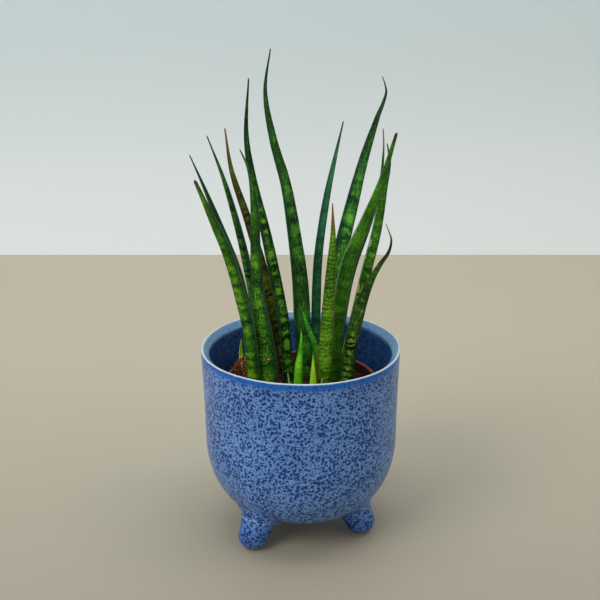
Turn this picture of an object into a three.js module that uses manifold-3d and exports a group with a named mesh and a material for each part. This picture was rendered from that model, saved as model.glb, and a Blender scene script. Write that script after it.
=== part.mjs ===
// A snake plant with narrow, channelled, cross-banded leaves. It grows in a thin brown nursery
// pot, which stands inside a glazed cover pot on three stubby feet.
// Millimetres, +Z up. The origin is on the table under the middle of the cover pot, and -Y is
// the side that the plant is usually seen from.
import * as THREE from "three";
import { mergeVertices } from "three/addons/utils/BufferGeometryUtils.js";
import Module from "manifold-3d";

const wasm = await Module();
wasm.setup();

// Clearance between pieces that touch.
const CLEARANCE = 0.3;
const SAME_POINT = 1e-3; // vertices this close together are one

// Cover pot: a straight wall over a rounded bottom, with a bevelled rim.
const POT_HEIGHT = 134;
const POT_RIM_RADIUS = 67.5;
const POT_WALL = 5.5;
const POT_FLARE = 1.6; // the rim is this much wider than the top of the rounded bottom
const FLARE_POWER = 1.5; // above 1, most of the flare lies near the rim
const RIM_LAND = 1; // flat edge on top of the rim
const RIM_BEVEL_DEPTH = 4;
const RIM_WOBBLE = 0.7; // a hand-thrown rim is not quite round
const WOBBLE_LOBES = 3;
const WOBBLE_TURN = 75; // degrees from +X to the first lobe
const BELLY_RISE = 54.5; // from the underside to the top of the rounded bottom
const BELLY_REACH = 40.7; // from the wall in to the flat underside
const BELLY_POWER = 2.2; // 2 would be an ellipse, and more is squarer
const POT_SEGMENTS = 48;
const BELLY_STEPS = 9;
const WALL_STEPS = 4;

// Its three feet.
const FOOT_HEIGHT = 16.5; // from the table to the flat underside
// Each foot's direction from the pot's axis, in degrees from +X, and how far its sole's middle
// lies in from the wall. They were pressed on by hand, so they differ a little.
const FEET = [
  { angle: 229, inset: 16 },
  { angle: 338, inset: 21.5 },
  { angle: 103, inset: 18 },
];
const FOOT_RADIUS = 10.6; // just above the rounding
const FOOT_NECK_RADIUS = 11; // where it meets the bowl
const FOOT_SOLE_RADIUS = 5.8;
const FOOT_ROUND = 5.5; // height of the rounding above the sole
const FOOT_LEAN = 6; // the sole lies this much further out than the neck
const FOOT_SEGMENTS = 16;
const FOOT_ROUND_STEPS = 3;

// Nursery pot.
const NURSERY_HEIGHT = 84;
const NURSERY_GAP = 9.3; // from the cover pot's wall to the nursery pot's lip
const NURSERY_TAPER = 15; // how much narrower the base is than the lip
const NURSERY_WALL = 1.2;
const NURSERY_LIP_WIDTH = 1.6;
const NURSERY_LIP_HEIGHT = 4;
const DRAIN_HOLES = 6;
const DRAIN_RADIUS = 4;
const DRAIN_INSET = 9; // from the base's edge in to a hole's middle
const DRAIN_SEGMENTS = 12;
const NURSERY_SEGMENTS = 40;

// Potting mix.
const MIX_DROP = 3.5; // from the nursery pot's lip down to the mix
const MIX_TILT = 3; // how much higher the mix stands at the left edge than at the middle
const MOUND_HEIGHT = 5; // a heap of loose fibre
const MOUND_RADIUS = 16;
const MOUND_ANGLE = 152; // where the heap lies, in degrees from +X
const MIX_RINGS = 6;

// Plant.
const PLANT_HEIGHT = 225; // from the mix to the tallest tip
const WIDEST_LEAF = 12;
const EDGE_MARGIN = 3.8; // from the outermost foot to the edge of the mix
const LEAF_DEPTH = 0.36; // from margin to keel, as a share of the leaf's width
const LEAF_LIP = 0.32; // height of the margins, as a share of the keel's depth
const CHANNEL_DEPTH = 0.42; // depth of the channel, as a share of the keel's depth
const RING_SPACING = 11; // along a leaf, on average
const RING_CROWDING = 1.3; // above 1, rings lie closer towards the tip
const FEWEST_RINGS = 5;
const KEEL_STEPS = 5; // round the keel, from margin to margin

// Each leaf stands on its foot in the mix and runs through the points of its line to its tip:
// x and y in the clump, z above the mix. Its widths are spaced evenly from foot to tip, and
// its channel faces the given way, in degrees from +X.
const LEAVES = [
  {
    name: "leaf_left_outer",
    line: [
      [-29, 3, -9], [-30.5, 2, 6], [-36, -1, 49], [-42, -5, 82], [-54.2, -10, 119],
      [-62.6, -15, 143], [-70.1, -20, 163],
    ],
    widths: [6.5, 7, 6.5, 4.2, 0.8],
    faces: 60,
  },
  {
    name: "leaf_left_front",
    line: [
      [-31.5, -13, -9], [-32, -14, 9], [-34.5, -17, 45], [-40.5, -20, 74], [-46.8, -24, 99],
      [-56.4, -29, 125], [-66, -36, 151],
    ],
    widths: [8.5, 9, 8, 6.2, 2.2],
    faces: 75,
  },
  {
    name: "leaf_left_middle",
    line: [
      [-24.5, 12, -9], [-26, 12, 6], [-30, 11, 41], [-35, 9, 75], [-41, 7, 105], [-50.3, 4, 141],
      [-60.5, 0, 171],
    ],
    widths: [7.2, 7.2, 6.4, 4.2, 0.8],
    faces: 60,
  },
  {
    name: "leaf_left_olive",
    line: [
      [-11, 16, -9], [-12.5, 16, 9], [-19.5, 18, 46], [-28, 21, 82], [-37, 24, 112],
      [-46.5, 26, 142], [-50.5, 27, 170],
    ],
    widths: [8, 8, 7, 4.8, 1],
    faces: -60,
  },
  {
    name: "leaf_front_broad",
    line: [
      [-21, -7, -9], [-22, -8, 6], [-25, -10, 40], [-28, -12, 64], [-29.5, -15, 96],
      [-30, -18, 130], [-33.2, -20, 154], [-38.5, -22, 167],
    ],
    widths: [11.5, 11.2, 7.8, 5.5, 0.8],
    faces: 85,
  },
  {
    name: "leaf_tall_left",
    line: [
      [-8, 3, -9], [-9, 3, 5], [-11, 2.5, 37], [-14.5, 1.5, 60], [-22.5, 0, 103], [-31.5, -2, 144],
      [-35, -4, 172], [-33, -5, 208],
    ],
    widths: [7.5, 8.2, 7.2, 4.6, 0.9],
    faces: -70,
  },
  {
    name: "leaf_tallest",
    line: [
      [2.5, 10, -9], [2, 10, 12], [1, 11, 37], [-0.7, 12, 70], [-4, 14, 97], [-10, 17, 134],
      [-18.4, 20, 164], [-23.4, 22, 195], [-19.8, 24, 222],
    ],
    widths: [10.4, 12, 9, 5.4, 0.8],
    faces: -65,
  },
  {
    name: "leaf_back_narrow",
    line: [
      [9.5, 28, -9], [10, 28, 10], [10.5, 30, 49], [11.8, 33, 80], [17, 38, 118], [23, 42, 147],
      [28.5, 45, 171],
    ],
    widths: [5.6, 6.5, 6, 4.4, 0.9],
    faces: -100,
  },
  {
    name: "leaf_front_short",
    line: [
      [15, -13, -9], [15.5, -14, 7], [16.5, -15, 33], [18, -17, 62], [19.2, -19, 87],
      [20.3, -21, 109], [19.8, -23, 133],
    ],
    widths: [8.8, 10.4, 9.8, 6.4, 0.9],
    faces: 95,
  },
  {
    name: "leaf_right_leaning",
    line: [
      [22, -1, -9], [22.5, -2, 3], [24, -4, 36], [26.5, -6, 62], [31, -9, 89], [42, -12, 119],
      [50.5, -15, 143], [59.5, -20, 177],
    ],
    widths: [8, 8.8, 10.4, 6.2, 2],
    faces: 105,
  },
  {
    name: "leaf_right_tall",
    line: [
      [20.5, 13, -9], [20.5, 14, 9], [22, 16, 39], [25, 19, 78], [34.5, 24, 121], [42, 28, 150],
      [50, 31, 175], [56, 33, 193], [53, 32, 203],
    ],
    widths: [8, 9.1, 9.9, 6.2, 0.8],
    faces: -110,
  },
  {
    name: "leaf_right_back",
    line: [
      [24.5, 26, -9], [25.5, 26, 4], [29, 27, 42], [35, 28, 73], [45.5, 29, 103], [52.5, 30, 127],
      [55, 31, 154], [54.5, 31, 169],
    ],
    widths: [5.5, 6.3, 5.6, 2.8, 0.8],
    faces: -110,
  },
  {
    name: "leaf_right_middle",
    line: [
      [28.5, 9, -9], [29, 10, 7], [36, 11, 40], [42.5, 12, 70], [50, 13, 103], [55, 14, 134],
      [58, 14, 150], [56, 13, 163],
    ],
    widths: [7, 7.4, 7.8, 6.2, 0.8],
    faces: 115,
  },
  {
    name: "leaf_right_low",
    line: [
      [30.5, -11, -9], [31, -12, 8], [33, -14, 33], [37, -17, 55], [42, -20, 73], [49, -23, 90],
      [55.5, -26, 101], [57.3, -27, 110], [53.5, -27, 121],
    ],
    widths: [8.4, 8.4, 8.2, 3.6, 0.8],
    faces: 100,
  },
];

const SHOOTS = [
  {
    name: "shoot_left",
    line: [[-39.5, 21, -3], [-42, 24, 13], [-41.7, 25, 24]],
    widths: [4, 5, 4, 2.4, 0.7],
    faces: -30,
  },
  {
    name: "shoot_middle",
    line: [[-2, -13, -7], [-1.5, -14, 20], [0, -13, 34], [0, -12, 45]],
    widths: [5.5, 6, 5.2, 2.6, 0.7],
    faces: 90,
  },
  {
    name: "shoot_yellow",
    line: [[8, -22, -7], [8, -22, 16], [8, -22, 25], [7.8, -22, 33]],
    widths: [5, 5.2, 4.5, 2.2, 0.7],
    faces: 90,
  },
  {
    name: "shoot_leaning",
    line: [[13, -3, -7], [11.7, -4, 20], [8.6, -4, 32], [3.9, -3, 44], [0.4, -2, 55]],
    widths: [4.6, 5.4, 5, 3.6, 0.8],
    faces: -60,
  },
  {
    name: "shoot_blade_left",
    line: [[-7, -19, -6], [-7.5, -19, 5], [-9, -19, 16]],
    widths: [2, 2, 1.8, 1.2, 0.7],
    faces: 90,
  },
  {
    name: "shoot_blade_right",
    line: [[11, -28, -6], [12, -28, 5], [14, -28, 16]],
    widths: [2, 2, 1.8, 1.2, 0.7],
    faces: 90,
  },
];

// Sizes worked out from the ones above.
const bellyRadius = POT_RIM_RADIUS - POT_FLARE;
const undersideRadius = bellyRadius - BELLY_REACH;
const bellyTop = FOOT_HEIGHT + BELLY_RISE;
const nurseryLipRadius = POT_RIM_RADIUS - POT_WALL - NURSERY_GAP;
const nurseryTopRadius = nurseryLipRadius - NURSERY_LIP_WIDTH;
const nurseryBaseRadius = nurseryLipRadius - NURSERY_TAPER;
const nurseryBase = bowlHeightAt(nurseryBaseRadius, POT_WALL) + CLEARANCE;
const nurseryTop = nurseryBase + NURSERY_HEIGHT;
const mixTop = nurseryTop - MIX_DROP;
const mixBase = nurseryBase + NURSERY_WALL + CLEARANCE;
const mixRadius = nurseryRadiusAt(mixTop - MIX_TILT) - NURSERY_WALL - CLEARANCE;
const everyLeaf = [...LEAVES, ...SHOOTS];
const tallestPoint = Math.max(...LEAVES.flatMap((leaf) => leaf.line.map((point) => point[2])));
const widestPoint = Math.max(...LEAVES.flatMap((leaf) => leaf.widths));
const furthestFoot = Math.max(...everyLeaf.map((leaf) => Math.hypot(leaf.line[0][0], leaf.line[0][1])));
const rise = PLANT_HEIGHT / tallestPoint;
const widening = WIDEST_LEAF / widestPoint;
const spread = (mixRadius - EDGE_MARGIN) / furthestFoot;

// ---- Shared helpers ----

function radians(degrees) {
  return (degrees * Math.PI) / 180;
}

// Moves every vertex of a geometry by a function that changes it in place.
function reshape(geometry, change) {
  const position = geometry.attributes.position;
  const point = new THREE.Vector3();
  for (let i = 0; i < position.count; i++) {
    point.fromBufferAttribute(position, i);
    change(point);
    position.setXYZ(i, point.x, point.y, point.z);
  }
  return geometry;
}

// Turns a profile of (radius, height) points about the Z axis.
function turned(profile, segments) {
  return new THREE.LatheGeometry(profile, segments).rotateX(Math.PI / 2);
}

function solidOf(geometry) {
  const bare = new THREE.BufferGeometry();
  bare.setAttribute("position", geometry.attributes.position);
  if (geometry.index) bare.setIndex(geometry.index);
  const merged = mergeVertices(bare, SAME_POINT);
  return new wasm.Manifold(
    new wasm.Mesh({
      numProp: 3,
      vertProperties: merged.attributes.position.array,
      triVerts: new Uint32Array(merged.index.array),
    }),
  );
}

function geometryOf(solid) {
  const mesh = solid.getMesh();
  const geometry = new THREE.BufferGeometry();
  geometry.setAttribute("position", new THREE.BufferAttribute(mesh.vertProperties, 3));
  geometry.setIndex(new THREE.BufferAttribute(mesh.triVerts, 1));
  geometry.computeVertexNormals();
  return geometry;
}

// ---- Cover pot ----

// The rounded bottom is a quarter of a superellipse. An inset of one wall gives the inside.
function bellyPoint(angle, inset) {
  const out = Math.sin(angle) ** (2 / BELLY_POWER);
  const down = Math.cos(angle) ** (2 / BELLY_POWER);
  return new THREE.Vector2(
    undersideRadius + (BELLY_REACH - inset) * out,
    bellyTop - (BELLY_RISE - inset) * down,
  );
}

// Height of the rounded bottom at a radius.
function bowlHeightAt(radius, inset) {
  const share = Math.max(0, radius - undersideRadius) / (BELLY_REACH - inset);
  const sine = Math.min(1, share) ** (BELLY_POWER / 2);
  const down = Math.sqrt(1 - sine * sine) ** (2 / BELLY_POWER);
  return bellyTop - (BELLY_RISE - inset) * down;
}

function wallRadiusAt(height) {
  const share = (height - bellyTop) / (POT_HEIGHT - bellyTop);
  return bellyRadius + POT_FLARE * share ** FLARE_POWER;
}

function bowlProfile(inset, top) {
  const points = [new THREE.Vector2(0, FOOT_HEIGHT + inset)];
  for (let i = 0; i <= BELLY_STEPS; i++) {
    points.push(bellyPoint((i / BELLY_STEPS) * (Math.PI / 2), inset));
  }
  for (let i = 1; i <= WALL_STEPS; i++) {
    const height = bellyTop + ((top - bellyTop) * i) / WALL_STEPS;
    points.push(new THREE.Vector2(wallRadiusAt(height) - inset, height));
  }
  return points;
}

function wobble(point) {
  const angle = Math.atan2(point.y, point.x) - radians(WOBBLE_TURN);
  const radius = Math.hypot(point.x, point.y);
  const share = (radius / POT_RIM_RADIUS) * (point.z / POT_HEIGHT) ** 2;
  const scale = 1 + (RIM_WOBBLE * share * Math.cos(WOBBLE_LOBES * angle)) / Math.max(radius, 1);
  point.x *= scale;
  point.y *= scale;
}

// A stub with a flat sole. Its top is stretched up to end inside the bowl's wall.
function footGeometry(foot) {
  const profile = [new THREE.Vector2(0, 0)];
  for (let i = 0; i <= FOOT_ROUND_STEPS; i++) {
    const angle = (i / FOOT_ROUND_STEPS) * (Math.PI / 2);
    profile.push(
      new THREE.Vector2(
        FOOT_SOLE_RADIUS + (FOOT_RADIUS - FOOT_SOLE_RADIUS) * Math.sin(angle),
        FOOT_ROUND * (1 - Math.cos(angle)),
      ),
    );
  }
  profile.push(new THREE.Vector2(FOOT_NECK_RADIUS, FOOT_HEIGHT));
  profile.push(new THREE.Vector2(0, FOOT_HEIGHT));
  const out = new THREE.Vector2(Math.cos(radians(foot.angle)), Math.sin(radians(foot.angle)));
  return reshape(turned(profile, FOOT_SEGMENTS), (point) => {
    const up = point.z / FOOT_HEIGHT;
    const distance = bellyRadius - foot.inset - FOOT_LEAN * up;
    point.x += out.x * distance;
    point.y += out.y * distance;
    const wallMiddle = bowlHeightAt(Math.hypot(point.x, point.y), 0) + POT_WALL / 2;
    const stretch = Math.max(0, point.z - FOOT_ROUND) / (FOOT_HEIGHT - FOOT_ROUND);
    point.z += (wallMiddle - FOOT_HEIGHT) * stretch;
  });
}

function ceramicPot() {
  const outside = bowlProfile(0, POT_HEIGHT);
  const land = new THREE.Vector2(POT_RIM_RADIUS - RIM_LAND, POT_HEIGHT);
  const inside = bowlProfile(POT_WALL, POT_HEIGHT - RIM_BEVEL_DEPTH).reverse();
  const bowl = reshape(turned([...outside, land, ...inside], POT_SEGMENTS), wobble);
  let pot = solidOf(bowl);
  for (const foot of FEET) {
    pot = pot.add(solidOf(footGeometry(foot)));
  }
  return geometryOf(pot);
}

// ---- Nursery pot and potting mix ----

function nurseryRadiusAt(height) {
  const share = (height - nurseryBase) / NURSERY_HEIGHT;
  return nurseryBaseRadius + (nurseryTopRadius - nurseryBaseRadius) * share;
}

function nurseryPot() {
  const lipFoot = nurseryTop - NURSERY_LIP_HEIGHT;
  const floor = nurseryBase + NURSERY_WALL;
  const profile = [
    [0, nurseryBase],
    [nurseryBaseRadius, nurseryBase],
    [nurseryRadiusAt(lipFoot), lipFoot],
    [nurseryLipRadius, lipFoot],
    [nurseryLipRadius, nurseryTop],
    [nurseryTopRadius - NURSERY_WALL, nurseryTop],
    [nurseryRadiusAt(floor) - NURSERY_WALL, floor],
    [0, floor],
  ].map(([radius, height]) => new THREE.Vector2(radius, height));
  let pot = solidOf(turned(profile, NURSERY_SEGMENTS));
  for (let i = 0; i < DRAIN_HOLES; i++) {
    const angle = (i / DRAIN_HOLES) * 2 * Math.PI;
    const distance = nurseryBaseRadius - DRAIN_INSET;
    const drill = new THREE.CylinderGeometry(
      DRAIN_RADIUS,
      DRAIN_RADIUS,
      4 * NURSERY_WALL,
      DRAIN_SEGMENTS,
    );
    drill.rotateX(Math.PI / 2);
    drill.translate(distance * Math.cos(angle), distance * Math.sin(angle), nurseryBase);
    pot = pot.subtract(solidOf(drill));
  }
  return geometryOf(pot);
}

// How far the mix stands above or below its level, higher at the left and heaped at one place.
function mixRelief(x, y) {
  const heapDistance = mixRadius - MOUND_RADIUS / 2;
  const dx = x - heapDistance * Math.cos(radians(MOUND_ANGLE));
  const dy = y - heapDistance * Math.sin(radians(MOUND_ANGLE));
  const heap = Math.max(0, 1 - (dx * dx + dy * dy) / MOUND_RADIUS ** 2);
  return (-MIX_TILT * x) / mixRadius + MOUND_HEIGHT * heap;
}

function pottingMix() {
  const inset = NURSERY_WALL + CLEARANCE;
  const profile = [
    new THREE.Vector2(0, mixBase),
    new THREE.Vector2(nurseryRadiusAt(mixBase) - inset, mixBase),
  ];
  for (let i = MIX_RINGS; i >= 0; i--) {
    profile.push(new THREE.Vector2((mixRadius * i) / MIX_RINGS, mixTop));
  }
  const level = turned(profile, NURSERY_SEGMENTS);
  let mix = solidOf(
    reshape(level, (point) => {
      if (point.z > mixBase + 1) point.z += mixRelief(point.x, point.y);
    }),
  );
  for (const leaf of everyLeaf) {
    mix = mix.subtract(solidOf(sweptGeometry(leaf, socketSection(), CLEARANCE)));
  }
  return geometryOf(mix);
}

// ---- Leaves ----

// The round keel of a leaf's section at unit size.
function keelPoints() {
  const points = [];
  for (let i = 0; i <= KEEL_STEPS; i++) {
    const angle = Math.PI + (i / KEEL_STEPS) * Math.PI;
    points.push(new THREE.Vector2(Math.cos(angle), Math.sin(angle)));
  }
  return points;
}

// A leaf has a shallow channel opposite its keel. The socket that it stands in has none.
function leafSection() {
  const channel = [0.7, 0, -0.7].map(
    (x) => new THREE.Vector2(x, LEAF_LIP - CHANNEL_DEPTH * (1 - x * x)),
  );
  return new THREE.Shape([...keelPoints(), ...channel]);
}

function socketSection() {
  const lips = [new THREE.Vector2(1, LEAF_LIP), new THREE.Vector2(-1, LEAF_LIP)];
  return new THREE.Shape([...keelPoints(), ...lips]);
}

// The sign of a value, or 0 for one that only rounding keeps from 0.
function signOf(value) {
  return Math.abs(value) < SAME_POINT ? 0 : Math.sign(value);
}

// Sweeps a section along the leaf's line, grown by the given amount all round.
function sweptGeometry(leaf, section, grown) {
  const line = new THREE.CatmullRomCurve3(
    leaf.line.map(([x, y, z]) => new THREE.Vector3(x * spread, y * spread, mixTop + z * rise)),
  );
  const widths = new THREE.SplineCurve(
    leaf.widths.map((width, i) => new THREE.Vector2(i, width * widening)),
  );
  const rings = Math.max(FEWEST_RINGS, Math.round(line.getLength() / RING_SPACING));
  const straight = new THREE.ExtrudeGeometry(section, {
    depth: 1,
    steps: rings,
    bevelEnabled: false,
  });
  const faces = new THREE.Vector3(Math.cos(radians(leaf.faces)), Math.sin(radians(leaf.faces)), 0);
  return reshape(straight, (point) => {
    const share = 1 - (1 - THREE.MathUtils.clamp(point.z, 0, 1)) ** RING_CROWDING;
    const middle = line.getPointAt(share);
    const along = line.getTangentAt(share);
    const side = new THREE.Vector3().crossVectors(faces, along).normalize();
    const front = new THREE.Vector3().crossVectors(along, side);
    const width = widths.getPoint(share).y;
    const across = point.x * (width / 2) + signOf(point.x) * grown;
    const deep = point.y * width * LEAF_DEPTH + signOf(point.y) * grown;
    const sunk = share === 0 ? -grown : 0;
    point.copy(middle);
    point.addScaledVector(side, across);
    point.addScaledVector(front, deep);
    point.addScaledVector(along, sunk);
  });
}

// ---- The whole plant ----

const glaze = new THREE.MeshStandardMaterial({ color: 0x6f87b8, roughness: 0.3 });
const brownPlastic = new THREE.MeshStandardMaterial({ color: 0x8a4a36, roughness: 0.6 });
const fibre = new THREE.MeshStandardMaterial({ color: 0x4a2c1c, roughness: 1 });
const leafGreen = new THREE.MeshStandardMaterial({ color: 0x3f7d2c, roughness: 0.45 });
const shootGreen = new THREE.MeshStandardMaterial({ color: 0x7dbb2e, roughness: 0.45 });

const plant = new THREE.Group();

function addPiece(name, geometry, material) {
  const mesh = new THREE.Mesh(geometry, material);
  mesh.name = name;
  plant.add(mesh);
}

addPiece("ceramic_pot", ceramicPot(), glaze);
addPiece("nursery_pot", nurseryPot(), brownPlastic);
addPiece("potting_mix", pottingMix(), fibre);
for (const leaf of LEAVES) {
  addPiece(leaf.name, sweptGeometry(leaf, leafSection(), 0), leafGreen);
}
for (const shoot of SHOOTS) {
  addPiece(shoot.name, sweptGeometry(shoot, leafSection(), 0), shootGreen);
}

export default plant;
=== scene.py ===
import math

import bmesh
import bpy
import numpy as np
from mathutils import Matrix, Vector, noise


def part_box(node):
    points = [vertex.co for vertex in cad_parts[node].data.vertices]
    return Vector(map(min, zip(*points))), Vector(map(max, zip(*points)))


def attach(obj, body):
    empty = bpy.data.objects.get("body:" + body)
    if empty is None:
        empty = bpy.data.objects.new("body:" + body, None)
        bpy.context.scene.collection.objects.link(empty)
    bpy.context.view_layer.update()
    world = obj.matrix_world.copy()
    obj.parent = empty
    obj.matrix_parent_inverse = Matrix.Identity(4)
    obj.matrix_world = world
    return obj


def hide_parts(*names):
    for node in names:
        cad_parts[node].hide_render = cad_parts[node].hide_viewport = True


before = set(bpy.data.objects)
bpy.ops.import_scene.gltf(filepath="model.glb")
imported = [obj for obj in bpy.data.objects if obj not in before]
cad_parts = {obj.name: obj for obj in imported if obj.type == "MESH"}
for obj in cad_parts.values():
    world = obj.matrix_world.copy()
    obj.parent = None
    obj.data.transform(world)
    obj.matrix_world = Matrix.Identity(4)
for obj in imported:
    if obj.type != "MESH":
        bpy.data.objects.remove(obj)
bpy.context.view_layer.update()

bpy.context.scene.view_settings.view_transform = "Standard"

MM = 0.001  # scene units in one millimetre
draw = np.random.default_rng(7)


# ---- Colours and node materials ----

def colour(code):
    """A linear colour from a hexadecimal sRGB code."""
    parts = [int(code[i:i + 2], 16) / 255 for i in (0, 2, 4)]
    linear = [p / 12.92 if p <= 0.04045 else ((p + 0.055) / 1.055) ** 2.4 for p in parts]
    return (*linear, 1.0)


class Look:
    """A node material that is built up a node at a time."""

    def __init__(self, name, coat=0.0, coat_roughness=0.2, specular=0.5):
        self.material = bpy.data.materials.new(name)
        self.material.use_nodes = True
        self.nodes = self.material.node_tree.nodes
        self.links = self.material.node_tree.links
        self.nodes.clear()
        self.surface = self.nodes.new("ShaderNodeBsdfPrincipled")
        output = self.nodes.new("ShaderNodeOutputMaterial")
        self.links.new(self.surface.outputs[0], output.inputs["Surface"])
        self.surface.inputs["Coat Weight"].default_value = coat
        self.surface.inputs["Coat Roughness"].default_value = coat_roughness
        self.surface.inputs["Specular IOR Level"].default_value = specular

    def put(self, socket, value):
        """Links another node's output to the socket, or sets the socket to a constant."""
        if isinstance(value, bpy.types.NodeSocket):
            self.links.new(value, socket)
        else:
            socket.default_value = value

    def node(self, kind, inputs, **settings):
        made = self.nodes.new(kind)
        for key, value in settings.items():
            setattr(made, key, value)
        for key, value in inputs.items():
            self.put(made.inputs[key], value)
        return made

    def math(self, operation, a, b=0.0):
        return self.node("ShaderNodeMath", {0: a, 1: b}, operation=operation).outputs[0]

    def add(self, *terms):
        total = terms[0]
        for term in terms[1:]:
            total = self.math("ADD", total, term)
        return total

    def times(self, a, b):
        return self.math("MULTIPLY", a, b)

    def hypot(self, a, b):
        return self.math("SQRT", self.add(self.times(a, a), self.times(b, b)))

    def step(self, value, low, high):
        """0 where value is at low, 1 where it is at high, with a soft passage between."""
        return self.node(
            "ShaderNodeMapRange",
            {"Value": value, "From Min": low, "From Max": high},
            interpolation_type="SMOOTHSTEP",
        ).outputs[0]

    def centred(self, value):
        """A noise value moved so that it runs about nought."""
        return self.math("SUBTRACT", value, 0.5)

    def mix(self, factor, a, b, blend="MIX"):
        """Colour a where factor is 0, and b (or a times b) where it is 1."""
        made = self.node("ShaderNodeMix", {0: factor}, data_type="RGBA", blend_type=blend)
        self.put(made.inputs[6], a)
        self.put(made.inputs[7], b)
        return made.outputs[2]

    def over(self, tone, mask, strength, code):
        """tone with a flat colour laid over it where mask is 1."""
        return self.mix(self.times(mask, strength), tone, colour(code))

    def noise(self, vector, scale, detail=2.0, roughness=0.5):
        inputs = {"Vector": vector, "Scale": scale, "Detail": detail, "Roughness": roughness}
        return self.node("ShaderNodeTexNoise", inputs).outputs["Fac"]

    def cells(self, vector, scale, randomness=1.0):
        """Distance to the nearest of many scattered points, in cells."""
        inputs = {"Vector": vector, "Scale": scale, "Randomness": randomness}
        return self.node("ShaderNodeTexVoronoi", inputs).outputs["Distance"]

    def ramp(self, value, stops):
        """Colours that follow value from stop to stop."""
        made = self.node("ShaderNodeValToRGB", {"Fac": value})
        elements = made.color_ramp.elements
        while len(elements) < len(stops):
            elements.new(0.5)
        for element, (position, code) in zip(elements, stops):
            element.position = position
            element.color = colour(code)
        return made.outputs["Color"]

    def join(self, x, y, z):
        return self.node("ShaderNodeCombineXYZ", {0: x, 1: y, 2: z}).outputs[0]

    def split(self, vector):
        return self.node("ShaderNodeSeparateXYZ", {0: vector}).outputs

    def attribute(self, name, output="Vector"):
        return self.node("ShaderNodeAttribute", {}, attribute_name=name).outputs[output]

    def place(self):
        """Position on the object, in millimetres."""
        made = self.node("ShaderNodeTexCoord", {}).outputs["Object"]
        scaled = self.node("ShaderNodeVectorMath", {0: made}, operation="SCALE")
        scaled.inputs["Scale"].default_value = 1 / MM
        return scaled.outputs[0]

    def base(self, value):
        self.put(self.surface.inputs["Base Color"], value)

    def rough(self, value):
        self.put(self.surface.inputs["Roughness"], value)

    def bump(self, height, depth_mm, strength=1.0):
        """Bumps of the given depth where height runs from 0 to 1."""
        made = self.node("ShaderNodeBump", {"Height": height, "Strength": strength})
        made.inputs["Distance"].default_value = depth_mm * MM
        self.links.new(made.outputs[0], self.surface.inputs["Normal"])


# ---- Shared mesh helpers ----

def new_object(name, data):
    made = bpy.data.objects.new(name, data)
    bpy.context.scene.collection.objects.link(made)
    return made


def make_object(name, vertices, faces, look=None, smooth=True):
    mesh = bpy.data.meshes.new(name)
    mesh.from_pydata([tuple(v) for v in vertices], [], [tuple(map(int, f)) for f in faces])
    mesh.validate()
    mesh.update()
    mesh.polygons.foreach_set("use_smooth", [smooth] * len(mesh.polygons))
    made = new_object(name, mesh)
    if look:
        mesh.materials.append(look.material)
    return made


def ring_faces(rings, around, first=0):
    """Quads that join each ring of points to the next."""
    faces = []
    for i in range(rings - 1):
        for j in range(around):
            a = first + i * around + j
            b = first + i * around + (j + 1) % around
            faces.append((a, b, b + around, a + around))
    return faces


def turns(count):
    """Angles that divide a full turn evenly."""
    return [2 * math.pi * i / count for i in range(count)]


def ring_points(centre, radius, height, around):
    """Points of a level ring about a centre."""
    return [
        (centre[0] + radius * math.cos(t), centre[1] + radius * math.sin(t), height)
        for t in turns(around)
    ]


def stacked_rings(rings, around, first=0):
    """Faces of a closed solid whose points are rings from the bottom up."""
    last = first + (rings - 1) * around
    faces = ring_faces(rings, around, first)
    faces.append(tuple(range(first, first + around))[::-1])
    faces.append(tuple(range(last, last + around)))
    return faces


def point_attribute(made, name, kind, values):
    layer = made.data.attributes.new(name, kind, "POINT")
    key = "vector" if kind == "FLOAT_VECTOR" else "value"
    layer.data.foreach_set(key, np.asarray(values, dtype=np.float32).ravel())


def smooth_rows(rows, knots, wanted):
    """A Catmull-Rom curve through rows at the given knots, read at the wanted places."""
    rows = np.asarray(rows, float)
    slopes = np.empty_like(rows)
    slopes[1:-1] = (rows[2:] - rows[:-2]) / (knots[2:] - knots[:-2])[:, None]
    slopes[0] = (rows[1] - rows[0]) / (knots[1] - knots[0])
    slopes[-1] = (rows[-1] - rows[-2]) / (knots[-1] - knots[-2])
    i = np.clip(np.searchsorted(knots, wanted, side="right") - 1, 0, len(knots) - 2)
    span = (knots[i + 1] - knots[i])[:, None]
    t = ((wanted - knots[i])[:, None]) / span
    return (
        (2 * t**3 - 3 * t**2 + 1) * rows[i]
        + (t**3 - 2 * t**2 + t) * span * slopes[i]
        + (3 * t**2 - 2 * t**3) * rows[i + 1]
        + (t**3 - t**2) * span * slopes[i + 1]
    )


def unit(rows):
    return rows / np.linalg.norm(rows, axis=1)[:, None]


# ---- Leaves ----

CAD_AROUND = 9  # points in each ring of a leaf's CAD mesh
WELD = 1e-6
FLATNESS = 2e-5


def cad_rings(node):
    """The rings of points that a leaf's CAD mesh is swept from, from its foot up."""
    grid = bmesh.new()
    grid.from_mesh(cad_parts[node].data)
    bmesh.ops.remove_doubles(grid, verts=grid.verts, dist=WELD)
    lowest = min(grid.verts, key=lambda v: v.co.z)
    start = foot_ring(sorted(grid.verts, key=lambda v: (v.co - lowest.co).length))
    seen = set(start)
    rings = [start]
    while len(seen) < len(grid.verts):
        following = {
            edge.other_vert(v)
            for v in rings[-1]
            for edge in v.link_edges
            if edge.other_vert(v) not in seen
        }
        if not following:
            break
        rings.append(list(following))
        seen |= following
    points = [np.array([v.co[:] for v in ring]) for ring in rings]
    grid.free()
    return points


def foot_ring(order):
    """The points of a leaf's flat foot: the ring that lies in one downward face's plane."""
    near = order[: CAD_AROUND * 2]
    best = None
    for v in near[:CAD_AROUND]:
        for face in v.link_faces:
            start = face.verts[0].co
            plane = [w for w in near if abs((w.co - start).dot(face.normal)) < FLATNESS]
            if len(plane) == CAD_AROUND and (best is None or face.normal.z < best[0]):
                best = (face.normal.z, plane)
    return best[1]


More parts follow.
